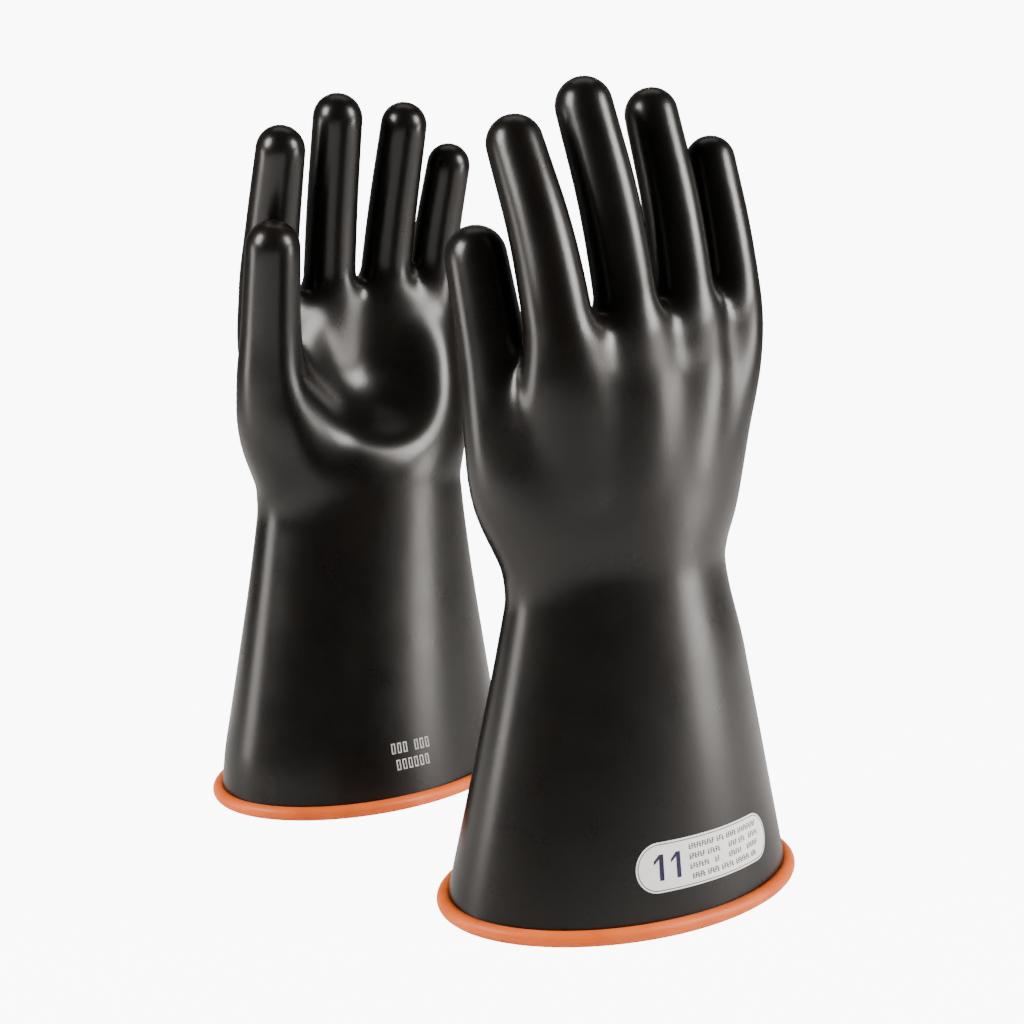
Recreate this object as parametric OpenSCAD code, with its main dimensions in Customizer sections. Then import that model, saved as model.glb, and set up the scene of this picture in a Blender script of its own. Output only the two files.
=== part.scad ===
// A pair of electrical insulating rubber gloves that stand upright on their rolled cuffs.
// Each glove is a black outer film bonded over an orange inner film, with a rolled bead round its cuff.
// Frame: +Z up, X and Y in the middle of the pair's footprint, Z = 0 where the beads rest.
// A glove's own frame has Z up the forearm, -X to the thumb side and -Y to the palm of the left hand.
// The right-hand glove is the mirror image of the left-hand one.

/* [Glove] */
// Length from the resting plane to the tip of the middle finger
glove_length = 356; // [350:1:362]
// Length from the narrowest part of the wrist to that tip
hand_length = 203; // [198:1:208]
// Thickness of each of the two rubber films
film = 0.8; // [0.6:0.05:1]

/* [Cuff] */
// Half the long width of the cuff at the bead, over the black film
cuff_a = 86.8; // [80:0.2:90]
// Half the short width of the cuff at the bead
cuff_b = 59.5; // [54:0.5:62]
// Radius of the rolled bead
bead_r = 3.4; // [3:0.1:3.6]
// How far the bead's underside is pressed flat where it stands
bead_flat = 0.3; // [0.2:0.05:0.5]

/* [Hand] */
// Half the width of the wrist
wrist_a = 55; // [52:0.5:58]
// Half the thickness of the wrist
wrist_b = 36; // [33:0.5:38]
// Half the width of the palm below the fingers
palm_a = 61; // [60:0.5:63]
// Distance from the root of the index finger to the root of the little finger
root_span = 94.5; // [93:0.5:97]
// Radius of a finger at its root
finger_r = 13.3; // [12.8:0.1:13.6]
// Length of the stretch of a finger that folds when it bends
fold = 26; // [22:1:28]

/* [Marks] */
// Length of the size label along the cuff
label_w = 80; // [60:1:84]
// Height of the size label
label_h = 21; // [16:1:22]
// Height of the label's middle above the resting plane
label_z = 28.5; // [24:0.5:40]
// Height of the date stamp's middle above the resting plane
stamp_z = 26; // [22:1:60]

/* [Pair] */
// Sideways distance between the middles of the two cuffs
pair_dx = 127; // [124:1:150]
// Front to back distance between the middles of the two cuffs
pair_dy = 159; // [155:1:180]

/* [Hidden] */

black = [0.09, 0.085, 0.08];
orange = [0.88, 0.43, 0.15];
label_white = [0.9, 0.9, 0.88];
print_navy = [0.13, 0.12, 0.3];
stamp_grey = [0.62, 0.62, 0.62];

bond = 0.05;          // clear space that stands for the bond between two pieces
seat = 0.15;          // clear space where the films' edge sits in the bead
skin = film + bond;   // the lining's outside lies this far inside the black film's
label_gap = 0.25;     // clear space under the flat panes of the label and the stamp
print_gap = 0.12;     // clear space under the print on the label
label_t = 0.25;
ink_t = 0.1;

sides = 48;           // corners round the cuff, the hand and the bead
digit_fn = 48;
bead_arc = 10;        // steps round the bead's outside
dome_steps = 8;       // steps from a digit's side to its tip

rim_z = bead_r - bead_flat;   // height of the bead's centreline, where both films end
bead_out = 1.2;               // the bead's centreline lies this far outside the black film
wrist_z = glove_length - hand_length;
root_z = wrist_z + 102;       // height of the finger roots

// turn of each hand about Z, and how much further its cuff is turned
left_yaw = 31;
left_twist = 17;
right_yaw = 36;
right_twist = -2;

// stations of the hand: height, centre x and y, half width, half thickness, squareness, share of the twist
stations = [
    [rim_z, 0, 0, cuff_a, cuff_b, 2, 1],
    [wrist_z * 0.5, 0, 0, (cuff_a + wrist_a) / 2, (cuff_b + wrist_b) / 2, 2, 0.6],
    [wrist_z, 0, 0, wrist_a, wrist_b, 2, 0],
    [wrist_z + 14, 0, 0, wrist_a + 1, wrist_b - 0.5, 2, 0],
    [wrist_z + 42, 0, 4, palm_a - 1, wrist_b - 5, 2.2, 0],
    [wrist_z + 62, 0, 7, palm_a, wrist_b - 9, 2.3, 0],
    [wrist_z + 79, 1, 10, palm_a, wrist_b - 13.5, 2.5, 0],
    [wrist_z + 92, 2, 12, palm_a - 2, wrist_b - 18, 2.6, 0],
    [wrist_z + 99, 2.5, 12, palm_a - 4, wrist_b - 20, 2.7, 0],
    [root_z, 3, 12.5, palm_a - 6, wrist_b - 22, 2.8, 0]];
levels = [for (s = stations) s[0]];
foot_levels = [rim_z, wrist_z / 4, wrist_z / 2, wrist_z * 3 / 4];
all_levels = concat(foot_levels, [for (z = levels) if (z >= wrist_z) z]);

function at(z, column) = lookup(z, [for (s = stations) [s[0], s[column]]]);
function power(v, e) = sign(v) * pow(abs(v), e);

// a point of the outline at angle t and height z, moved in by inset
function hand_point(t, z, inset) =
    let (e = 2 / at(z, 5),
         turn = $twist * at(z, 6),
         x = (at(z, 3) - inset) * power(cos(t), e),
         y = (at(z, 4) - inset) * power(sin(t), e))
    [at(z, 1) + x * cos(turn) - y * sin(turn),
     at(z, 2) + x * sin(turn) + y * cos(turn),
     z];
function hand_ring(z, inset) = [for (i = [0 : sides - 1]) hand_point(360 * i / sides, z, inset)];

// digits: root and centre of the tip's ball, radius at both, start of the fold above the root,
// and how far below the root the digit starts inside the hand
index_x = -44.5;
thumb = [[-58, -14.5, root_z - 21], [-60.5, -24.5, glove_length - 75], 14.6, 13.6, 14, 0];
index = [[index_x, 12, root_z], [-50, -12, glove_length - 28.5], finger_r, 12.4, 32, 8];
middle = [[index_x + 0.355 * root_span, 12.5, root_z],
    [-16, -10, glove_length - 12.6], finger_r, 12.6, 32, 8];
ring = [[index_x + 0.69 * root_span, 12.5, root_z], [21, -10, glove_length - 15.4], finger_r, 12.2, 30, 8];
little = [[index_x + root_span, 13, root_z], [50, -3, glove_length - 35], finger_r, 11.6, 20, 8];
fingers = [index, middle, ring, little];
digits = [thumb, index, middle, ring, little];
thumb_heel = [-34, -6, wrist_z + 4];   // where the thumb's base starts, inside the hand
thumb_heel_r = 12;
root_fn = 24;
thumb_fold = 22;

function digit_length(d) = norm(d[1] - d[0]);
function digit_radius(d, s) = d[2] + (d[3] - d[2]) * s / digit_length(d);
function fold_of(d) = d == thumb ? thumb_fold : fold;

// puts its children with Z from point p towards point q
module aim(p, q) {
    v = q - p;
    translate(p) rotate([0, acos(v[2] / norm(v)), atan2(v[1], v[0])]) children();
}

// a length of a digit's cone, between two distances from its root, moved in by inset
module digit_cone(d, from, to, inset) {
    aim(d[0], d[1]) translate([0, 0, from])
        cylinder(h = to - from, r1 = digit_radius(d, from) - inset,
            r2 = digit_radius(d, to) - inset, $fn = digit_fn);
}

// half the outline of a digit's domed end, from a distance above its root to its tip
function dome(d, from, inset) =
    let (r = d[3] - inset, high = digit_length(d))
    concat([[digit_radius(d, from) - inset, from]],
           [for (k = [0 : dome_steps]) let (t = 90 * k / dome_steps) [r * cos(t), high + r * sin(t)]]);

// the part of a digit below its fold, blended down into the hand; reach lengthens it past the fold's start
module digit_root(d, inset, reach = 0) {
    end = d[4] + reach;
    disc = 0.02;
    aim(d[0], d[1]) hull() {
        translate([0, 0, -d[5]]) sphere(r = d[2] - inset, $fn = root_fn);
        translate([0, 0, end - disc]) cylinder(h = disc, r = digit_radius(d, end) - inset, $fn = root_fn);
    }
}

// the ball of the thumb, from its heel in the hand to the thumb's root
module thumb_base(inset) {
    hull() {
        translate(thumb_heel) sphere(r = thumb_heel_r - inset, $fn = root_fn);
        translate(thumb[0]) sphere(r = thumb[2] - inset, $fn = root_fn);
    }
}

// a closed solid through a stack of rings that all have the same number of points
module stack(rings, matched = false) {
    n = len(rings[0]);
    top = len(rings) - 1;
    function next(i) = (i + 1) % n;
    polyhedron(
        points = [for (r = rings) each r],
        faces = concat(
            [[for (i = [0 : n - 1]) i]],
            [for (k = [0 : top - 1], i = [0 : n - 1])
                each split(k * n + i, (k + 1) * n + i, (k + 1) * n + next(i), k * n + next(i),
                    matched && i >= n / 2)],
            [[for (i = [n - 1 : -1 : 0]) top * n + i]]),
        convexity = 6);
}
// a four-cornered face as two triangles, along one diagonal or the other
function split(a, b, c, d, other) = other ? [[a, b, d], [b, c, d]] : [[a, b, c], [a, c, d]];

// cuff, wrist and palm, with the top lowered by inset and the foot reaching down by below
module hand_solid(inset, below = 0) {
    foot = hand_ring(rim_z, inset);
    stack(concat(
        below > 0 ? [[for (p = foot) p - [0, 0, below]]] : [],
        [for (z = all_levels)
            z == root_z ? [for (p = hand_ring(z, inset)) p - [0, 0, inset]] : hand_ring(z, inset)]));
}

// one film of the cuff, wrist, palm and digit roots, between two insets
module hand_layer(outer, inner) {
    difference() {
        union() {
            hand_solid(outer);
            thumb_base(outer);
            for (d = digits) digit_root(d, outer);
        }
        hand_solid(inner, 2);
        thumb_base(inner);
        for (d = digits) digit_root(d, inner, 1);
    }
}

// one film of the stretch of a digit that folds
module knuckle_layer(d, outer, inner) {
    difference() {
        digit_cone(d, d[4] + bond, d[4] + fold_of(d) - bond, outer);
        digit_cone(d, d[4] - 1, d[4] + fold_of(d) + 1, inner);
    }
}

// one film of the domed end of a digit
module tip_layer(d, outer, inner) {
    from = d[4] + fold_of(d);
    under = dome(d, from, inner);
    aim(d[0], d[1]) rotate_extrude($fn = digit_fn)
        polygon(concat(dome(d, from, outer), [for (k = [len(under) - 1 : -1 : 0]) under[k]]));
}

module hand_film() color(black) hand_layer(0, film);
module hand_lining() color(orange) hand_layer(skin, skin + film);
module knuckle_film(d) color(black) knuckle_layer(d, 0, film);
module knuckle_lining(d) color(orange) knuckle_layer(d, skin, skin + film);
module tip_film(d) color(black) tip_layer(d, 0, film);
module tip_lining(d) color(orange) tip_layer(d, skin, skin + film);

// the bead's section as [outward, up] from its centreline, with a shelf that takes the films' edge
function bead_section() =
    let (wall = seat - bead_out,
         top = acos(wall / bead_r),
         low = asin(rim_z / bead_r),
         shelf = 180 - asin(seat / bead_r))
    concat([[wall, -seat]],
           [for (k = [0 : bead_arc]) bead_r * direction(top - (top + low) * k / bead_arc)],
           [for (k = [0 : 3]) bead_r * direction(low - 180 + (180 - low - shelf) * k / 3)]);
function direction(angle) = [cos(angle), sin(angle)];

// the rolled bead round the cuff
module cuff_bead() {
    section = bead_section();
    n = len(section);
    points = [for (i = [0 : sides - 1])
        let (t = 360 * i / sides,
             rim = [cuff_a * cos(t), cuff_b * sin(t)],
             out = [cuff_b * cos(t), cuff_a * sin(t)],
             u = out / norm(out))
        for (p = section)
            [rim[0] + (bead_out + p[0]) * u[0], rim[1] + (bead_out + p[0]) * u[1], rim_z + p[1]]];
    function corner(i, k) = (i % sides) * n + k % n;
    color(orange) rotate($twist) polyhedron(
        points = points,
        faces = [for (i = [0 : sides - 1], k = [0 : n - 1], half = [0, 1]) half == 0
            ? [corner(i, k), corner(i, k + 1), corner(i + 1, k + 1)]
            : [corner(i, k), corner(i + 1, k + 1), corner(i + 1, k)]],
        convexity = 6);
}

// a thin patch on the cuff round angle t0 and height z0: edges is a list of [along, lowest, highest]
function outline_speed(t, z) = norm(hand_point(t + 0.5, z, 0) - hand_point(t - 0.5, z, 0));
function mark_point(along, up, t0, z0, lift) = 
    hand_point(t0 + $reading * along / outline_speed(t0, z0), z0 + up, -lift);
module patch(edges, t0, z0, lift, thickness) {
    last = len(edges) - 1;
    stack([for (i = [0 : last])
        let (e = edges[$reading > 0 ? i : last - i]) [
        mark_point(e[0], e[1], t0, z0, lift),
        mark_point(e[0], e[2], t0, z0, lift),
        mark_point(e[0], e[2], t0, z0, lift + thickness),
        mark_point(e[0], e[1], t0, z0, lift + thickness)]], matched = true);
}

// a rectangle of ink
module bar(along, up, w, h, t0, z0, lift) {
    pieces = max(1, round(w / 8));
    patch([for (k = [0 : pieces]) [along - w / 2 + w * k / pieces, up - h / 2, up + h / 2]],
        t0, z0, lift, ink_t);
}

back_angle = 87;    // the label's middle on the back of the cuff
palm_angle = 258;   // the stamp's middle on its palm side

// the size label: a plate with two round ends
module size_label() {
    r = label_h / 2;
    straight = label_w / 2 - r;
    steps = 5;
    end = [for (k = [0 : steps]) let (t = 88 * (1 - k / steps)) [straight + r * sin(t), r * cos(t)]];
    color(label_white) patch(concat(
        [for (e = end) [-e[0], -e[1], e[1]]],
        [for (k = [1 : 4]) [straight * (2 * k / 5 - 1), -r, r]],
        [for (k = [steps : -1 : 0]) [end[k][0], -end[k][1], end[k][1]]]),
        back_angle, label_z, label_gap, label_t);
}

// the size number, as two strokes, beside plain lines that stand for small print
module label_print() {
    lift = label_gap + label_t + print_gap;
    lines = [46, 40, 42, 36];
    color(print_navy) {
        for (x = [-29, -21]) bar(x, 0, 2.2, 11, back_angle, label_z, lift);
        for (k = [0 : 3]) 
            bar(lines[k] / 2 - 14, 6.4 - 4.2 * k, lines[k], 1.4, back_angle, label_z, lift);
    }
}

// the stamped code: two rows of plain upright blocks
module date_stamp() {
    pitch = 3.5;
    color(stamp_grey) {
        for (x = [-3, -2, -1, 1, 2, 3]) bar(x * pitch, 4.2, 2, 5, palm_angle, stamp_z, label_gap);
        for (x = [-2.5 : 2.5]) bar(x * pitch, -4.2, 2, 5, palm_angle, stamp_z, label_gap);
    }
}

// where the cuffs' middles stand, so that the pair's footprint is centred
function reach(turn) = bead_r + norm([(cuff_a + bead_out) * cos(turn), (cuff_b + bead_out) * sin(turn)]);
left_turn = left_yaw + left_twist;
right_turn = right_yaw - right_twist;
left_place = [
    (reach(left_turn) - reach(right_turn) - pair_dx) / 2,
    (pair_dy + reach(90 - right_turn) - reach(90 - left_turn)) / 2,
    0];
right_place = left_place + [pair_dx, -pair_dy, 0];

module left() {
    $twist = left_twist;
    $reading = 1;
    translate(left_place) rotate(left_yaw) children();
}

module right() {
    $twist = right_twist;
    $reading = -1;    // keeps the marks from reading backwards on the mirrored glove
    translate(right_place) rotate(right_yaw) mirror([0, 1, 0]) children();
}

// the left-hand glove
left() hand_film();  // left_hand_film
left() hand_lining();  // left_hand_lining
left() knuckle_film(thumb);  // left_thumb_knuckle_film
left() knuckle_lining(thumb);  // left_thumb_knuckle_lining
left() tip_film(thumb);  // left_thumb_tip_film
left() tip_lining(thumb);  // left_thumb_tip_lining
left() knuckle_film(index);  // left_index_knuckle_film
left() knuckle_lining(index);  // left_index_knuckle_lining
left() tip_film(index);  // left_index_tip_film
left() tip_lining(index);  // left_index_tip_lining
left() knuckle_film(middle);  // left_middle_knuckle_film
left() knuckle_lining(middle);  // left_middle_knuckle_lining
left() tip_film(middle);  // left_middle_tip_film
left() tip_lining(middle);  // left_middle_tip_lining
left() knuckle_film(ring);  // left_ring_knuckle_film
left() knuckle_lining(ring);  // left_ring_knuckle_lining
left() tip_film(ring);  // left_ring_tip_film
left() tip_lining(ring);  // left_ring_tip_lining
left() knuckle_film(little);  // left_little_knuckle_film
left() knuckle_lining(little);  // left_little_knuckle_lining
left() tip_film(little);  // left_little_tip_film
left() tip_lining(little);  // left_little_tip_lining
left() cuff_bead();  // left_cuff_bead
left() size_label();  // left_size_label
left() label_print();  // left_label_print
left() date_stamp();  // left_date_stamp

// the right-hand glove
right() hand_film();  // right_hand_film
right() hand_lining();  // right_hand_lining
right() knuckle_film(thumb);  // right_thumb_knuckle_film
right() knuckle_lining(thumb);  // right_thumb_knuckle_lining
right() tip_film(thumb);  // right_thumb_tip_film
right() tip_lining(thumb);  // right_thumb_tip_lining
right() knuckle_film(index);  // right_index_knuckle_film
right() knuckle_lining(index);  // right_index_knuckle_lining
right() tip_film(index);  // right_index_tip_film
right() tip_lining(index);  // right_index_tip_lining
right() knuckle_film(middle);  // right_middle_knuckle_film
right() knuckle_lining(middle);  // right_middle_knuckle_lining
right() tip_film(middle);  // right_middle_tip_film
right() tip_lining(middle);  // right_middle_tip_lining
right() knuckle_film(ring);  // right_ring_knuckle_film
right() knuckle_lining(ring);  // right_ring_knuckle_lining
right() tip_film(ring);  // right_ring_tip_film
right() tip_lining(ring);  // right_ring_tip_lining
right() knuckle_film(little);  // right_little_knuckle_film
right() knuckle_lining(little);  // right_little_knuckle_lining
right() tip_film(little);  // right_little_tip_film
right() tip_lining(little);  // right_little_tip_lining
right() cuff_bead();  // right_cuff_bead
right() size_label();  // right_size_label
right() label_print();  // right_label_print
right() date_stamp();  // right_date_stamp
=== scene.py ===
"""A pair of rubber insulating gloves standing on their rolled cuffs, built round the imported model."""
import math

import bmesh
import bpy
import numpy as np
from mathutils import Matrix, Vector


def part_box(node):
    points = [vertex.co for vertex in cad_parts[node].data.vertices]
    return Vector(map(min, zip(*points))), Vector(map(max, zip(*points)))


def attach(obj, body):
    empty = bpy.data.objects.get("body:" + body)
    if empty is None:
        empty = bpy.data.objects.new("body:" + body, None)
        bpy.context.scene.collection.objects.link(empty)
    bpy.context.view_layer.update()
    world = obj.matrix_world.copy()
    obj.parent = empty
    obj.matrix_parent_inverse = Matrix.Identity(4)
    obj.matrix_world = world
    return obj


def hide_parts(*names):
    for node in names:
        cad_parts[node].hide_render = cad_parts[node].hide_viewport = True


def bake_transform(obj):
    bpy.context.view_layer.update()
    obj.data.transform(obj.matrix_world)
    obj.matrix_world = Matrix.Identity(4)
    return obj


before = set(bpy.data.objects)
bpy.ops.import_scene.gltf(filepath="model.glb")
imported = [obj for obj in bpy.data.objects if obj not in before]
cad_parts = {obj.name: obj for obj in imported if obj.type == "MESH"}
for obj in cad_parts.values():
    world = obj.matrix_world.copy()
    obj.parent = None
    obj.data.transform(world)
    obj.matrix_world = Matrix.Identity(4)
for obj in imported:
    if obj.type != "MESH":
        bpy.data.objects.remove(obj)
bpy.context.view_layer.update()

MM = 0.001
SIDES = ("left", "right")
DIGITS = ("thumb", "index", "middle", "ring", "little")

# ---------------------------------------------------------------------------------------------
# Glove dimensions, in millimetres, in a glove's own frame: Z up the forearm, -X to the thumb side
# and -Y to the palm of the left hand. The right-hand glove mirrors Y.

FILM = 0.8                 # each of the two rubber films
FILM_SPLIT = 0.05          # between them
RIM_Z = 3.1                # height of the bead's centreline
BEAD_R = 3.4
BEAD_OUT = 1.2             # the bead's centreline lies this far outside the black film
CUFF_A, CUFF_B = 86.8, 59.5
WRIST_Z = 153.0
TIP_Z = 356.0

YAW = {"left": 31.0, "right": 36.0}       # turn of each hand about Z
TWIST = {"left": 17.0, "right": -2.0}     # how much further its cuff is turned
MIRROR = {"left": 1.0, "right": -1.0}

# stations of the hand: height, half width, half thickness, centre x, centre y, squareness
STATIONS = np.array([
    [-6.0, 88.7, 60.9, 0, 0, 2.0],
    [RIM_Z, CUFF_A, CUFF_B, 0, 0, 2.0],
    [60.0, 74.0, 50.0, 0, 0, 2.0],
    [115.0, 61.8, 41.0, 0, 0, 2.0],
    [148.0, 55.5, 36.5, 0, 0, 2.0],
    [WRIST_Z, 55.0, 36.0, 0, 0, 2.0],
    [158.0, 55.8, 35.9, 0, 0, 2.0],
    [172.0, 58.5, 34.5, 0, 1, 2.1],
    [195.0, 60.5, 31.0, 0, 4, 2.2],
    [215.0, 61.0, 27.0, -0.5, 7, 2.3],
    [232.0, 60.0, 22.5, 0, 10, 2.5],
    [246.0, 57.0, 17.0, 1, 12, 2.6],
    [266.0, 50.0, 12.0, 2, 13, 2.8]])
PALM_TOP = 259.5           # height of the webs between the fingers at the middle of the hand
PALM_TOP_SLOPE = 0.13      # how much the webs rise towards the little finger

# digits as bowed chains of balls: x, y, z and radius, from inside the hand to the tip's ball
CHAINS = {
    "thumb": [(-34, -4, 158, 21), (-46, -8, 184, 23), (-55, -12, 212, 18), (-57.5, -17, 240, 15.0),
              (-59.8, -26.8, 281, 13.4)],
    "index": [(-36, 14, 192, 12), (-43.5, 15, 225, 14.2), (-46.3, 12.5, 255, 14.5), (-47.1, 1.5, 291, 13.5),
              (-49, -14, 327.5, 12.2)],
    "middle": [(-11, 17, 192, 12), (-11, 17, 228, 13.6), (-11, 14, 258, 13.5), (-13, 4, 302, 13.0),
               (-16, -10, 343.4, 12.4)],
    "ring": [(15, 17, 194, 12), (19, 17, 228, 13.4), (21, 14, 258, 13.3), (21.5, 4, 300, 12.6),
             (21, -10, 340.6, 11.7)],
    "little": [(36, 12, 198, 12), (45, 14, 228, 12.8), (49, 14, 255, 12.6), (49.5, 7, 288, 12.0),
               (50, -4, 321, 11.2)],
}
CHAIN_STEPS = 6            # straight pieces between two balls of a chain
WEB_BLEND = 9.0            # how softly a finger flows into the hand
GAP_BLEND = 4.0            # how softly neighbouring fingers flow into each other
THUMB_BLEND = ((195, 226, 243), (12.0, 9.0, 0.5))   # heights, and how softly the thumb flows in there

# how each glove stands a little differently, by height: height, shift in x, widening, rise
SLOUCH = {
    "left": np.array([[RIM_Z, 0, 0, 0], [30, -1.0, 0.017, 0], [110, -0.8, 0.014, 2], [153, -0.6, 0.01, 6],
                      [185, -0.3, 0.005, 4], [215, 0, 0, 0]]),
    "right": np.array([[RIM_Z, 0, 0, 0], [105, -0.5, -0.004, -1], [153, -2.6, -0.03, -3.5],
                       [180, -1.6, 0, -2], [215, 0, 0, 0]]),
}

# the fold of each digit on the model's axis: root, tip centre, start and length of the fold
FOLDS = {
    "thumb": ((-58, -14.5, 234), (-60.5, -24.5, 281), 14, 22),
    "index": ((-44.5, 12, 255), (-50, -12, 327.5), 32, 26),
    "middle": ((-11, 12.5, 255), (-16, -10, 343.4), 32, 26),
    "ring": ((20.7, 12.5, 255), (21, -10, 340.6), 30, 26),
    "little": ((50, 13, 255), (50, -3, 321), 20, 26),
}
CUT_MARGIN = 3.5           # a digit's mesh starts this far before its fold

BEAD_STEPS = 24            # faces round the bead's section
BEAD_SIDES = 192           # and round the cuff

LABEL_W, LABEL_H = 80.0, 21.0
OUTLINE_INSET, OUTLINE_W = 0.7, 0.35
FIGURES, FIGURE_H = (-28.0, -19.5), 11.0   # middles and height of the two figures of the size number
LETTER_PITCH = 1.5
LABEL_Z, STAMP_Z = 28.5, 26.0
PLATE_LIFT, PLATE = 0.02, 0.25             # off the cuff, and thickness
PRINT_LIFT, STAMP_LIFT, INK = 0.25, 0.01, 0.08
BACK, PALM = 87.0, 258.0   # angles of the label and the stamp round a cuff
# the rows of ticks that stand for small print: height, then the middle and length of each word
LABEL_LINES = (
    (6.3, ((-6.2, 15), (5.2, 5), (12.6, 7), (24.8, 15))),
    (2.1, ((-9.2, 9), (0.6, 8), (13.0, 6), (19.5, 5), (28.8, 8))),
    (-2.1, ((-8.2, 11), (2.0, 3), (14.0, 9), (27.0, 9))),
    (-6.3, ((-9.2, 7), (-0.8, 7), (8.0, 8), (18.6, 10), (27.0, 4))),
)

TICK_W, TICK_H = 0.45, 2.3
STAMP_PITCH = 3.5
STAMP_SIDE, STAMP_END = 0.85, 2.3          # from a frame's middle to its uprights and its ends
STAMP_H, STAMP_LINE = 5.2, 0.6
STAMP_ROWS = ((4.2, (-3, -2, -1, 1, 2, 3)), (-4.2, (-2.5, -1.5, -0.5, 0.5, 1.5, 2.5)))

CELL = 2.4                 # size of the grid that the rubber's surface is found on


def smooth_min(a, b, k):
    """The smaller of two distances, rounded where they are within k of each other."""
    h = np.maximum(k - np.abs(a - b), 0) / k
    return np.minimum(a, b) - h * h * k * 0.25


def spline(x, xs, ys):
    """A smooth curve through the stations, with no overshoot (Fritsch-Carlson slopes)."""
    h = np.diff(xs)
    d = np.diff(ys) / h
    m = np.zeros(len(xs))
    same = d[:-1] * d[1:] > 0
    m[1:-1][same] = 2 * d[:-1][same] * d[1:][same] / (d[:-1][same] + d[1:][same])
    m[0], m[-1] = d[0], d[-1]
    i = np.clip(np.searchsorted(xs, x) - 1, 0, len(h) - 1)
    t = np.clip((x - xs[i]) / h[i], 0, 1)
    a = ys[i] * (1 + 2 * t) * (1 - t) ** 2 + ys[i + 1] * t * t * (3 - 2 * t)
    return a + h[i] * (m[i] * t * (1 - t) ** 2 - m[i + 1] * t * t * (1 - t))


def chain_points(balls):
    """A chain's balls with smooth steps between them (Catmull-Rom)."""
    b = np.array(balls, float)
    ends = np.vstack([2 * b[0] - b[1], b, 2 * b[-1] - b[-2]])
    out = []
    for i in range(len(b) - 1):
        p0, p1, p2, p3 = ends[i:i + 4]
        for t in np.arange(CHAIN_STEPS) / CHAIN_STEPS:
            out.append(0.5 * (2 * p1 + (p2 - p0) * t + (2 * p0 - 5 * p1 + 4 * p2 - p3) * t * t
                              + (3 * p1 - p0 - 3 * p2 + p3) * t ** 3))
    out.append(b[-1])
    return np.array(out)


def chain_distance(p, points):
    """Distance from p to a tube of changing radius along the points."""
    best = np.full(len(p), 1e9)
    for a, b in zip(points[:-1], points[1:]):
        axis = b[:3] - a[:3]
        t = np.clip(((p - a[:3]) @ axis) / (axis @ axis), 0, 1)
        gap = np.linalg.norm(p - a[:3] - t[:, None] * axis, axis=1)
        best = np.minimum(best, gap - a[3] - (b[3] - a[3]) * t)
    return best


CHAIN_POINTS = {name: chain_points(balls) for name, balls in CHAINS.items()}


def hand_distance(p):
    """Distance to the cuff, wrist and palm."""
    a, b, cx, cy, n = (spline(p[:, 2], STATIONS[:, 0], STATIONS[:, k]) for k in range(1, 6))
    u = np.abs(p[:, 0] - cx) / a
    v = np.abs(p[:, 1] - cy) / b
    g = (u ** n + v ** n) ** (1 / n)
    slope = np.hypot(u ** (n - 1) / a, v ** (n - 1) / b) * np.maximum(g, 1e-6) ** (1 - n)
    side = (g - 1) / np.maximum(slope, 1 / 90)
    top = p[:, 2] - PALM_TOP - PALM_TOP_SLOPE * p[:, 0]
    return -smooth_min(-side, -top, 12.0)


# hollows pressed into the hand: centre, half sizes, softness
HOLLOWS = (
    ((1, -38, 229), (42, 39, 46), 16.0),
)


def hollow_distance(p, centre, half):
    q = (p - np.array(centre)) / np.array(half)
    r = np.linalg.norm(q, axis=1)
    slope = np.linalg.norm(q / np.array(half), axis=1) / np.maximum(r, 1e-6)
    return (r - 1) / np.maximum(slope, 1e-3)


def glove_distance(p):
    """Distance to the outside of the black rubber, in a glove's own frame."""
    hand = hand_distance(p)
    for centre, half, soft in HOLLOWS:
        hand = -smooth_min(-hand, hollow_distance(p, centre, half), soft)
    tubes = {name: chain_distance(p, points) for name, points in CHAIN_POINTS.items()}
    fingers = tubes["index"]
    for name in ("middle", "ring", "little"):
        fingers = smooth_min(fingers, tubes[name], GAP_BLEND)
    whole = smooth_min(hand, fingers, WEB_BLEND)
    thumb_blend = np.interp(p[:, 2], *THUMB_BLEND)
    return smooth_min(whole, tubes["thumb"], thumb_blend)


def gradient(field, p, h=0.05):
    g = np.empty_like(p)
    for k in range(3):
        step = np.zeros(3)
        step[k] = h
        g[:, k] = (field(p + step) - field(p - step)) / (2 * h)
    return g


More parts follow.
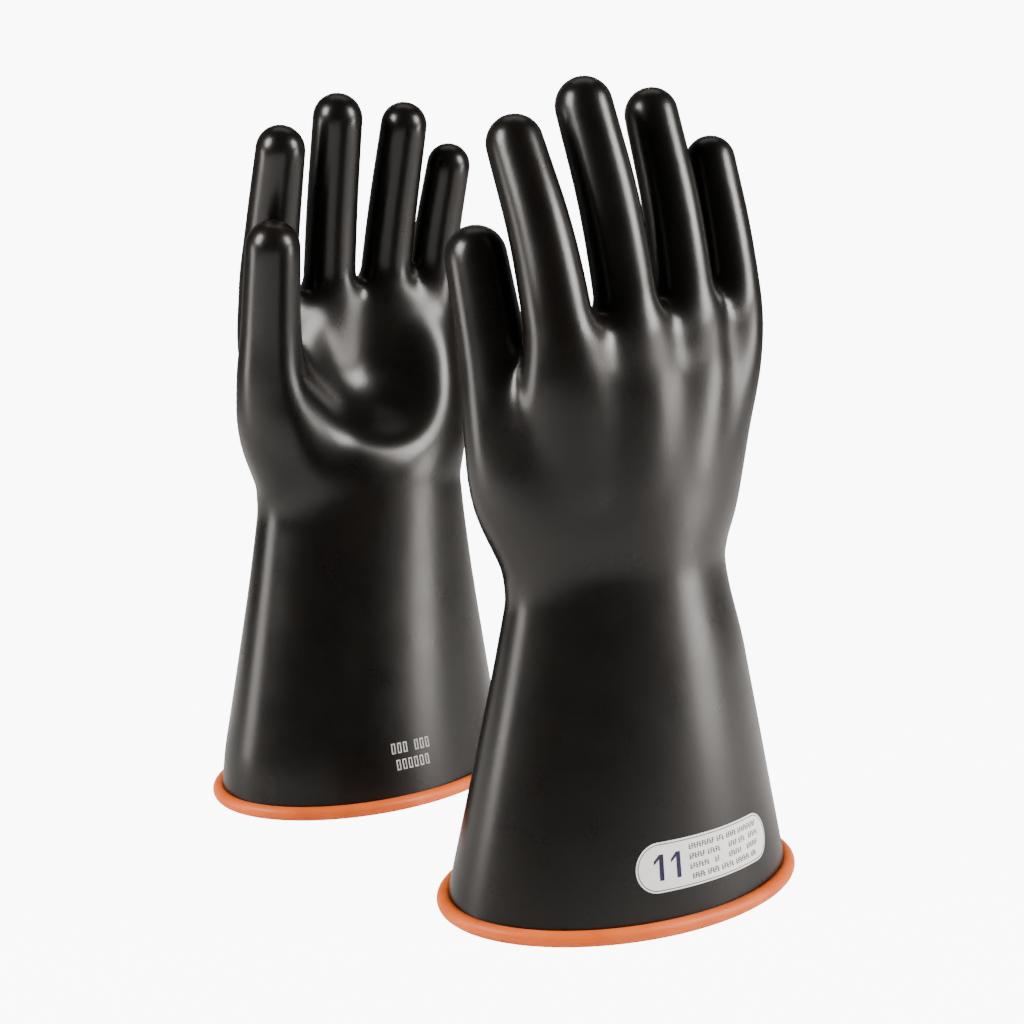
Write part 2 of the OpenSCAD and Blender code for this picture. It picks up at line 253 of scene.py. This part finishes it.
def surface_net(field, low, high, cell):
    """A quad mesh of where field is 0, open where it leaves the box."""
    axes = [np.arange(low[k], high[k] + cell, cell) for k in range(3)]
    grid = np.stack(np.meshgrid(*axes, indexing="ij"), -1)
    shape = grid.shape[:3]
    f = np.concatenate([field(block.reshape(-1, 3)) for block in np.array_split(grid, 16)]).reshape(shape)
    inside = f < 0
    cells = tuple(n - 1 for n in shape)
    total = np.zeros(cells + (3,))
    count = np.zeros(cells)
    for axis in range(3):
        a = [slice(None)] * 3
        b = [slice(None)] * 3
        a[axis], b[axis] = slice(0, -1), slice(1, None)
        fa, fb = f[tuple(a)], f[tuple(b)]
        cross = inside[tuple(a)] != inside[tuple(b)]
        t = np.where(cross, fa / np.where(cross, fa - fb, 1), 0)
        point = grid[tuple(a)].copy()
        point[..., axis] += t * cell
        point = np.where(cross[..., None], point, 0)
        others = [k for k in range(3) if k != axis]
        for i in (0, 1):
            for j in (0, 1):
                s = [slice(None)] * 3
                s[others[0]] = slice(i, cells[others[0]] + i)
                s[others[1]] = slice(j, cells[others[1]] + j)
                total += point[tuple(s)]
                count += cross[tuple(s)]
    used = count > 0
    index = np.full(cells, -1)
    index[used] = np.arange(used.sum())
    verts = total[used] / count[used][:, None]
    quads = []
    for axis in range(3):
        u, v = (axis + 1) % 3, (axis + 2) % 3
        a = [slice(None)] * 3
        b = [slice(None)] * 3
        a[axis], b[axis] = slice(0, -1), slice(1, None)
        cross = inside[tuple(a)] != inside[tuple(b)]
        where = np.argwhere(cross)
        where = where[(where[:, u] > 0) & (where[:, v] > 0)
                      & (where[:, u] < cells[u]) & (where[:, v] < cells[v])]
        corners = []
        for du, dv in ((1, 1), (0, 1), (0, 0), (1, 0)):
            c = where.copy()
            c[:, u] -= du
            c[:, v] -= dv
            corners.append(index[c[:, 0], c[:, 1], c[:, 2]])
        quad = np.stack(corners, 1)
        flip = ~inside[tuple(a)][tuple(where.T)]
        quad[flip] = quad[flip][:, ::-1]
        quads.append(quad)
    return verts, np.vstack(quads)


def settle(field, verts, rounds=3):
    """Moves the points onto the surface along its slope."""
    for _ in range(rounds):
        g = gradient(field, verts)
        verts = verts - g * (field(verts) / np.maximum((g * g).sum(1), 1e-9))[:, None]
    return verts


def relax(field, verts, quads, rounds=6):
    """Evens out the mesh along the surface."""
    n = len(verts)
    edges = np.vstack([quads[:, [k, (k + 1) % 4]] for k in range(4)])
    rim = verts[:, 2] < RIM_Z + 1.5 * CELL
    for _ in range(rounds):
        total = np.zeros((n, 3))
        count = np.zeros(n)
        for a, b in ((0, 1), (1, 0)):
            np.add.at(total, edges[:, a], verts[edges[:, b]])
            np.add.at(count, edges[:, a], 1)
        moved = verts + 0.5 * (total / np.maximum(count, 1)[:, None] - verts)
        moved[rim] = verts[rim]
        verts = settle(field, moved, 1)
    return settle(field, verts, 2)


def build_glove_surface():
    """The black film's outside, untwisted: points and quads. The cuff's edge lies level at the bead."""
    low = np.array([-96.0, -66.0, RIM_Z - CELL / 2])
    high = np.array([96.0, 66.0, TIP_Z + 6])
    verts, quads = surface_net(glove_distance, low, high, CELL)
    verts = relax(glove_distance, settle(glove_distance, verts), quads)
    edge = verts[:, 2] < RIM_Z + 0.6 * CELL
    verts[edge, 2] = RIM_Z
    flat = verts[edge]
    for _ in range(3):
        g = gradient(glove_distance, flat)
        g[:, 2] = 0
        flat = flat - g * (glove_distance(flat) / (g * g).sum(1))[:, None]
    verts[edge] = flat
    return verts, quads


def twist_share(z):
    """How far the cuff's twist has come at a height: all of it at the bead, none at the wrist."""
    t = np.clip((WRIST_Z - z) / (WRIST_Z - RIM_Z), 0, 1)
    return t * (1.6 - 0.6 * t)


def place(side, p, twist=True):
    """Points of a glove's own frame in the row frame, still in millimetres."""
    p = np.atleast_2d(np.asarray(p, float)).copy()
    heights = SLOUCH[side][:, 0]
    shift, widening, rise = (spline(np.clip(p[:, 2], heights[0], heights[-1]), heights, SLOUCH[side][:, k])
                             for k in (1, 2, 3))
    p[:, 0] += shift + widening * p[:, 0]
    p[:, 2] += rise
    turn = np.radians(TWIST[side]) * (twist_share(p[:, 2]) if twist else 0)
    x = p[:, 0] * np.cos(turn) - p[:, 1] * np.sin(turn)
    y = (p[:, 0] * np.sin(turn) + p[:, 1] * np.cos(turn)) * MIRROR[side]
    yaw = math.radians(YAW[side])
    low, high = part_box(f"{side}_cuff_bead")
    cx, cy = (low[0] + high[0]) / 2 / MM, (low[1] + high[1]) / 2 / MM
    return np.stack([cx + x * math.cos(yaw) - y * math.sin(yaw),
                     cy + x * math.sin(yaw) + y * math.cos(yaw), p[:, 2]], 1)


def point_normals(verts, quads, rounds=3):
    """Area-weighted normals of a quad mesh, evened out a little between neighbours."""
    a, b, c, d = (verts[quads[:, k]] for k in range(4))
    face = np.cross(c - a, d - b)
    n = np.zeros_like(verts)
    for k in range(4):
        np.add.at(n, quads[:, k], face)
    for _ in range(rounds):
        n /= np.maximum(np.linalg.norm(n, axis=1), 1e-12)[:, None]
        face = n[quads].sum(1)
        n = n.copy()
        for k in range(4):
            np.add.at(n, quads[:, k], 0.25 * face)
    return n / np.maximum(np.linalg.norm(n, axis=1), 1e-12)[:, None]


def digit_of_faces(verts, quads):
    """For each face the digit whose piece it goes into, or -1 for the hand; verts in the glove's own frame.
    """
    centre = verts[quads].mean(1)
    lowest = np.full(len(quads), -1)
    distances = np.stack([chain_distance(centre, CHAIN_POINTS[d]) for d in DIGITS], 1)
    nearest = distances.argmin(1)
    for k, name in enumerate(DIGITS):
        root, tip, start, _ = FOLDS[name]
        axis = np.array(tip, float) - root
        axis /= np.linalg.norm(axis)
        along = (verts - np.array(root, float)) @ axis
        above = (along[quads] > start - CUT_MARGIN).all(1)
        lowest[(nearest == k) & above] = k
    return lowest


def add_mesh(name, verts, faces, normals=None):
    """A smooth mesh object in metres from millimetre points, with given point normals."""
    mesh = bpy.data.meshes.new(name)
    mesh.from_pydata((np.asarray(verts) * MM).tolist(), [], [tuple(int(i) for i in f) for f in faces])
    mesh.polygons.foreach_set("use_smooth", [True] * len(mesh.polygons))
    if normals is not None:
        mesh.normals_split_custom_set_from_vertices([tuple(n) for n in normals])
    obj = bpy.data.objects.new(name, mesh)
    bpy.context.scene.collection.objects.link(obj)
    return obj


def shell_piece(name, outer, inner, normals, quads):
    """A closed film between matching outside and inside points, over the given quads."""
    used = np.unique(quads)
    n = len(used)
    local = np.full(len(outer), -1)
    local[used] = np.arange(n)
    q = local[quads]
    verts = np.vstack([outer[used], inner[used]])
    pairs = np.vstack([q[:, [k, (k + 1) % 4]] for k in range(4)])
    keys = {}
    for a, b in pairs.tolist():
        keys[(a, b)] = True
    rim = [(b, a, a + n, b + n) for a, b in keys if (b, a) not in keys]
    faces = q.tolist() + (q[:, ::-1] + n).tolist() + rim
    return add_mesh(name, verts, faces, np.vstack([normals[used], -normals[used]]))


def build_gloves():
    """Both gloves' black films and orange linings, one piece for the hand and one for each digit."""
    verts, quads = build_glove_surface()
    part = digit_of_faces(verts, quads)
    pieces = {}
    for side in SIDES:
        outside = place(side, verts)
        faces = quads if MIRROR[side] > 0 else quads[:, ::-1]
        normals = point_normals(outside, faces)
        layers = {"film": (0.0, FILM), "lining": (FILM + FILM_SPLIT, 2 * FILM + FILM_SPLIT)}
        for layer, (out, inn) in layers.items():
            outer, inner = outside - normals * out, outside - normals * inn
            for k, digit in enumerate(("hand",) + DIGITS):
                chosen = faces[part == k - 1]
                name = f"{side}_{digit}_{layer}_rubber"
                pieces[side, digit, layer] = shell_piece(name, outer, inner, normals, chosen)
    return pieces


def cuff_point(side, angle, height, out=0.0):
    """Points on the outside of the cuff at angles (radians) and heights, moved outward by out."""
    angle, height = np.broadcast_arrays(np.asarray(angle, float), np.asarray(height, float))
    a = spline(height, STATIONS[:, 0], STATIONS[:, 1])
    b = spline(height, STATIONS[:, 0], STATIONS[:, 2])
    across = np.stack([b * np.cos(angle), a * np.sin(angle)], -1)
    across = across / np.linalg.norm(across, axis=-1, keepdims=True) * np.asarray(out)[..., None]
    p = np.stack([a * np.cos(angle) + across[..., 0], b * np.sin(angle) + across[..., 1], height], -1)
    return place(side, p.reshape(-1, 3)).reshape(p.shape)


def build_bead(side):
    """The bead round the cuff's edge: a round roll that stands on a narrow flat."""
    angles = np.arange(BEAD_SIDES) * 2 * np.pi / BEAD_SIDES
    rings = []
    for t in np.radians(np.arange(BEAD_STEPS) * 360 / BEAD_STEPS):
        out = BEAD_OUT + BEAD_R * math.cos(t)
        up = max(BEAD_R * math.sin(t), -RIM_Z)
        rings.append(cuff_point(side, angles, RIM_Z, out) + np.array([0, 0, up]))
    verts = np.concatenate(rings)
    faces = []
    for k in range(BEAD_STEPS):
        for i in range(BEAD_SIDES):
            a, b = k * BEAD_SIDES + i, k * BEAD_SIDES + (i + 1) % BEAD_SIDES
            c = ((k + 1) % BEAD_STEPS) * BEAD_SIDES
            quad = (a, b, c + (i + 1) % BEAD_SIDES, c + i)
            faces.append(quad if MIRROR[side] > 0 else quad[::-1])
    return add_mesh(f"{side}_bead_rubber", verts, faces)


def lay_plate(side, name, grids, middle, height, lift, thick):
    """Thin plates laid round the cuff at an angle and height, each from a grid of (along, up) points."""
    verts, faces = [], []
    ring = np.linspace(-math.pi, math.pi, 721)
    path = cuff_point(side, math.radians(middle) + ring, height)
    run = np.concatenate([[0], np.cumsum(np.linalg.norm(np.diff(path, axis=0), axis=1))])
    run -= np.interp(0, ring, run)
    for grid in grids:
        grid = np.asarray(grid, float)
        angle = math.radians(middle) + np.interp(MIRROR[side] * grid[..., 0], run, ring)
        rows, cols = grid.shape[:2]
        back = cuff_point(side, angle, height + grid[..., 1], lift)
        front = cuff_point(side, angle, height + grid[..., 1], lift + thick)
        start = sum(len(v) for v in verts)
        verts += [front.reshape(-1, 3), back.reshape(-1, 3)]
        n = rows * cols
        for i in range(rows - 1):
            for j in range(cols - 1):
                a = start + i * cols + j
                quad = (a, a + 1, a + cols + 1, a + cols)
                faces += [quad, tuple(k + n for k in quad[::-1])]
        edge = ([i * cols for i in range(rows)] + [(rows - 1) * cols + j for j in range(1, cols)]
                + [i * cols + cols - 1 for i in range(rows - 2, -1, -1)] + list(range(cols - 2, 0, -1)))
        for a, b in zip(edge, edge[1:] + edge[:1]):
            faces.append((start + a, start + b, start + b + n, start + a + n))
    obj = add_mesh(name, np.concatenate(verts), faces)
    mesh = bmesh.new()
    mesh.from_mesh(obj.data)
    bmesh.ops.recalc_face_normals(mesh, faces=mesh.faces)
    for face in mesh.faces:
        face.smooth = False
    mesh.to_mesh(obj.data)
    mesh.free()
    return obj


def box_grid(along, up, width, height):
    """A rectangle round a middle point, three points high and with a column every few millimetres."""
    cols = max(2, int(width / 3) + 2)
    return [[(along + width * (j / (cols - 1) - 0.5), up + height * (i / 2 - 0.5)) for j in range(cols)]
            for i in range(3)]


def stadium_grid(width, height):
    """A plate with two round ends."""
    r = height / 2
    straight = width / 2 - r
    turns = np.radians(np.linspace(-90, 90, 19))
    xs = np.concatenate([-straight + r * np.sin(turns[:10]), np.linspace(-straight, straight, 26)[1:-1],
                         straight + r * np.sin(turns[9:])])
    half = np.sqrt(np.maximum(r * r - np.maximum(np.abs(xs) - straight, 0) ** 2, 1e-3))
    return [[(x, h * s) for x, h in zip(xs, half)] for s in np.linspace(-1, 1, 9)]


def stadium_line(width, height, inset, line):
    """A thin closed line inside a plate with two round ends, as a grid two points wide."""
    straight = width / 2 - height / 2
    rows = []
    for r in (height / 2 - inset, height / 2 - inset - line):
        turns = np.radians(np.linspace(-90, 90, 15))
        right = [(straight + r * math.cos(t), r * math.sin(t)) for t in turns]
        top = [(x, r) for x in np.linspace(straight, -straight, 20)[1:-1]]
        left = [(-straight - r * math.cos(t), -r * math.sin(t)) for t in turns]
        bottom = [(x, -r) for x in np.linspace(-straight, straight, 20)[1:-1]]
        rows.append(right + top + left + bottom + right[:1])
    return rows


def digit_one(along, height):
    """The figure 1: an upright stroke and a flag, as shares of its height."""
    w = 0.2 * height
    flag = [[(along - 0.34 * height, 0.26 * height), (along - w / 2 + 0.02, 0.5 * height)],
            [(along - 0.34 * height, 0.12 * height), (along - w / 2 + 0.02, 0.32 * height)]]
    return [box_grid(along, 0, w, height), flag]


def label_print_grids():
    """The label's thin outline, its size number and the ticks that stand for small print."""
    grids = [stadium_line(LABEL_W, LABEL_H, OUTLINE_INSET, OUTLINE_W)]
    for along in FIGURES:
        grids += digit_one(along, FIGURE_H)
    for up, words in LABEL_LINES:
        for along, width in words:
            letters = max(2, round(width / LETTER_PITCH))
            pitch = width / letters
            for k in range(letters):
                middle = along + (k + 0.5) * pitch - width / 2
                grids.append(box_grid(middle - 0.3, up, TICK_W, TICK_H))
                grids.append(box_grid(middle + 0.2, up + (0.92 if k % 2 else -0.92), 0.75, 0.45))
                grids.append(box_grid(middle + 0.2, up, 0.7, 0.4))
    return grids


def stamp_grids():
    """The stamp: two rows of small upright frames."""
    grids = []
    for up, columns in STAMP_ROWS:
        for column in columns:
            x = column * STAMP_PITCH
            for turn in (-1, 1):
                grids.append(box_grid(x + turn * STAMP_SIDE, up, STAMP_LINE, STAMP_H))
            for end in (1, -1):
                grids.append(box_grid(x, up + end * STAMP_END, 2 * STAMP_SIDE - STAMP_LINE, STAMP_LINE))
    return grids


# ---------------------------------------------------------------------------------------------
# Materials

def material(name, base, roughness, specular=0.5):
    """A new material with its nodes, links and shader."""
    m = bpy.data.materials.new(name)
    m.use_nodes = True
    shader = m.node_tree.nodes["Principled BSDF"]
    shader.inputs["Base Color"].default_value = (*base, 1)
    shader.inputs["Roughness"].default_value = roughness
    shader.inputs["Specular IOR Level"].default_value = specular
    return m, m.node_tree.nodes, m.node_tree.links, shader


def noise(nodes, links, scale, detail=3.0):
    """Noise fixed to the piece."""
    coord = nodes.new("ShaderNodeTexCoord")
    tex = nodes.new("ShaderNodeTexNoise")
    tex.inputs["Scale"].default_value = scale
    tex.inputs["Detail"].default_value = detail
    links.new(coord.outputs["Object"], tex.inputs["Vector"])
    return tex.outputs["Fac"]


def spread(nodes, links, value, low, high):
    """value, from 0.3 to 0.7, mapped onto low to high."""
    node = nodes.new("ShaderNodeMapRange")
    node.inputs["From Min"].default_value = 0.3
    node.inputs["From Max"].default_value = 0.7
    node.inputs["To Min"].default_value = low
    node.inputs["To Max"].default_value = high
    links.new(value, node.inputs["Value"])
    return node.outputs["Result"]


def mix(nodes, links, fac, a, b):
    node = nodes.new("ShaderNodeMix")
    node.data_type = "RGBA"
    node.inputs["A"].default_value = (*a, 1)
    node.inputs["B"].default_value = (*b, 1)
    links.new(fac, node.inputs["Factor"])
    return node.outputs["Result"]


def bump(nodes, links, shader, heights, strength, distance):
    node = nodes.new("ShaderNodeBump")
    node.inputs["Strength"].default_value = strength
    node.inputs["Distance"].default_value = distance
    links.new(heights, node.inputs["Height"])
    links.new(node.outputs["Normal"], shader.inputs["Normal"])


def black_rubber():
    m, nodes, links, shader = material("black rubber", (0.006, 0.005, 0.0045), 0.38, 0.34)
    cloud = noise(nodes, links, 22.0)
    links.new(mix(nodes, links, spread(nodes, links, cloud, 0, 1), (0.0022, 0.0016, 0.0013),
                  (0.0046, 0.0035, 0.0028)), shader.inputs["Base Color"])
    links.new(spread(nodes, links, noise(nodes, links, 60.0), 0.27, 0.31), shader.inputs["Roughness"])
    bump(nodes, links, shader, noise(nodes, links, 900.0, 2.0), 0.12, 0.0002)
    return m


def orange_rubber():
    m, nodes, links, shader = material("orange rubber", (0.72, 0.18, 0.03), 0.5, 0.45)
    cloud = noise(nodes, links, 90.0)
    links.new(mix(nodes, links, spread(nodes, links, cloud, 0, 1), (0.62, 0.145, 0.022),
                  (0.78, 0.21, 0.04)), shader.inputs["Base Color"])
    links.new(spread(nodes, links, noise(nodes, links, 160.0), 0.42, 0.58), shader.inputs["Roughness"])
    bump(nodes, links, shader, noise(nodes, links, 700.0, 2.0), 0.2, 0.0003)
    return m


def bead_material():
    m, nodes, links, shader = material("bead rubber", (0.74, 0.125, 0.014), 0.5, 0.25)
    cloud = noise(nodes, links, 60.0)
    links.new(mix(nodes, links, spread(nodes, links, cloud, 0, 1), (0.66, 0.105, 0.012),
                  (0.80, 0.15, 0.02)), shader.inputs["Base Color"])
    links.new(spread(nodes, links, noise(nodes, links, 140.0), 0.36, 0.5), shader.inputs["Roughness"])
    bump(nodes, links, shader, noise(nodes, links, 300.0, 2.0), 0.25, 0.0004)
    return m


def plain_ink(name, low, high, roughness):
    m, nodes, links, shader = material(name, low, roughness, 0.3)
    cloud = noise(nodes, links, 500.0)
    links.new(mix(nodes, links, spread(nodes, links, cloud, 0, 1), low, high), shader.inputs["Base Color"])
    return m


# ---------------------------------------------------------------------------------------------
# Camera, light and floor

CAMERA = (12.2, -872.9, 310)   # millimetres
CAMERA_PITCH = 10.04           # degrees below level
LENS, SENSOR = 64.65, 36
WARM = (1.0, 0.955, 0.91)
BACKDROP = 9.6                 # how bright the backdrop looks to the camera
GLOW, GLOW_SHARE = 12.0, 0.8   # the floor, as the camera sees it: strength, and share of its look


def set_camera():
    data = bpy.data.cameras.new("camera")
    data.lens = LENS
    data.sensor_width = SENSOR
    data.clip_end = 30
    camera = bpy.data.objects.new("camera", data)
    camera.location = Vector(CAMERA) * MM
    camera.rotation_euler = (math.radians(90 - CAMERA_PITCH), 0, 0)
    bpy.context.scene.collection.objects.link(camera)
    bpy.context.scene.camera = camera


def area_light(name, location, target, width, height, power):
    """A softbox, in metres and watts."""
    data = bpy.data.lights.new(name, "AREA")
    data.shape = "RECTANGLE"
    data.size, data.size_y = width, height
    data.energy = power
    data.color = WARM
    light = bpy.data.objects.new(name, data)
    light.location = location
    light.rotation_euler = (Vector(target) - Vector(location)).to_track_quat("-Z", "Y").to_euler()
    bpy.context.scene.collection.objects.link(light)


def set_lights():
    """Softboxes from both sides, and a world that is bright for the camera and dim for the rubber."""
    area_light("left softbox", (-0.95, -0.48, 0.85), (0, 0, 0.3), 0.42, 0.55, 26)
    area_light("right softbox", (1.1, -0.25, 0.8), (0, 0, 0.3), 0.4, 0.55, 25)
    area_light("low left softbox", (-1.1, -0.1, 0.2), (0, 0, 0.25), 0.3, 0.36, 4)
    area_light("low right softbox", (1.2, -0.1, 0.2), (0, 0, 0.25), 0.3, 0.36, 7)
    area_light("top softbox", (0, 0.5, 1.7), (0, 0, 0.19), 1.2, 0.7, 3)
    world = bpy.data.worlds.new("world")
    world.use_nodes = True
    nodes, links = world.node_tree.nodes, world.node_tree.links
    dim = nodes["Background"]
    dim.inputs["Color"].default_value = (0.95, 0.95, 0.95, 1)
    dim.inputs["Strength"].default_value = 0.05
    bright = nodes.new("ShaderNodeBackground")
    bright.inputs["Color"].default_value = (1, 1, 1, 1)
    bright.inputs["Strength"].default_value = BACKDROP
    rays = nodes.new("ShaderNodeLightPath")
    choose = nodes.new("ShaderNodeMixShader")
    links.new(rays.outputs["Is Camera Ray"], choose.inputs["Fac"])
    links.new(dim.outputs["Background"], choose.inputs[1])
    links.new(bright.outputs["Background"], choose.inputs[2])
    links.new(choose.outputs["Shader"], nodes["World Output"].inputs["Surface"])
    bpy.context.scene.world = world


def add_floor():
    """A pale floor that curves up behind the gloves."""
    half, front, back, bend, top = 6.0, -4.0, 1.6, 1.2, 3.0
    profile = [(front, 0.0), (back, 0.0)]
    profile += [(back + bend * math.sin(t), bend * (1 - math.cos(t)))
                for t in np.radians(np.arange(6, 91, 6))]
    profile.append((back + bend, top))
    verts = [(s * half, y, z) for y, z in profile for s in (-1, 1)]
    faces = [(2 * k, 2 * k + 1, 2 * k + 3, 2 * k + 2) for k in range(len(profile) - 1)]
    floor = add_mesh("floor", np.array(verts) / MM, faces)
    m, nodes, links, shader = material("pale floor", (0.93, 0.93, 0.93), 0.8, 0.0)
    glow = nodes.new("ShaderNodeEmission")
    glow.inputs["Strength"].default_value = GLOW
    rays = nodes.new("ShaderNodeLightPath")
    choose = nodes.new("ShaderNodeMixShader")
    seen = nodes.new("ShaderNodeMath")
    seen.operation = "MULTIPLY"
    seen.inputs[1].default_value = GLOW_SHARE
    links.new(rays.outputs["Is Camera Ray"], seen.inputs[0])
    links.new(seen.outputs["Value"], choose.inputs["Fac"])
    links.new(shader.outputs["BSDF"], choose.inputs[1])
    links.new(glow.outputs["Emission"], choose.inputs[2])
    links.new(choose.outputs["Shader"], nodes["Material Output"].inputs["Surface"])
    floor.data.materials.append(m)


set_camera()
set_lights()
add_floor()

black, orange = black_rubber(), orange_rubber()
for (side, digit, layer), piece in build_gloves().items():
    piece.data.materials.append(black if layer == "film" else orange)
    if digit == "hand":
        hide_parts(f"{side}_hand_{layer}")
        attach(piece, f"{side}_glove")
    else:
        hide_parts(f"{side}_{digit}_knuckle_{layer}", f"{side}_{digit}_tip_{layer}")
        root, tip, start, length = FOLDS[digit]
        axis = Vector(tip) - Vector(root)
        axis.normalize()
        ends = place(side, [Vector(root) + axis * start, Vector(root) + axis * (start + length)], False)
        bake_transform(piece)

bead_rubber = bead_material()
paper = plain_ink("label", (0.86, 0.86, 0.85), (0.93, 0.93, 0.92), 0.5)
print_ink = plain_ink("print", (0.010, 0.008, 0.035), (0.018, 0.015, 0.055), 0.5)
stamp_ink = plain_ink("stamp", (0.36, 0.36, 0.36), (0.62, 0.62, 0.61), 0.7)
for side in SIDES:
    plate = stadium_grid(LABEL_W, LABEL_H)
    marks = (("cuff_bead", build_bead(side), bead_rubber, "orange_rubber"),
             ("size_label", lay_plate(side, f"{side}_label_plate", [plate], BACK, LABEL_Z,
                                      PLATE_LIFT, PLATE), paper, "label_white"),
             ("label_print", lay_plate(side, f"{side}_label_ink", label_print_grids(), BACK, LABEL_Z,
                                       PRINT_LIFT, INK), print_ink, "label_ink"),
             ("date_stamp", lay_plate(side, f"{side}_stamp_ink", stamp_grids(), PALM, STAMP_Z,
                                      STAMP_LIFT, INK), stamp_ink, "stamp_ink"))
    for node, piece, ink, name in marks:
        piece.data.materials.append(ink)
        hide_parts(f"{side}_{node}")
        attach(piece, f"{side}_glove")
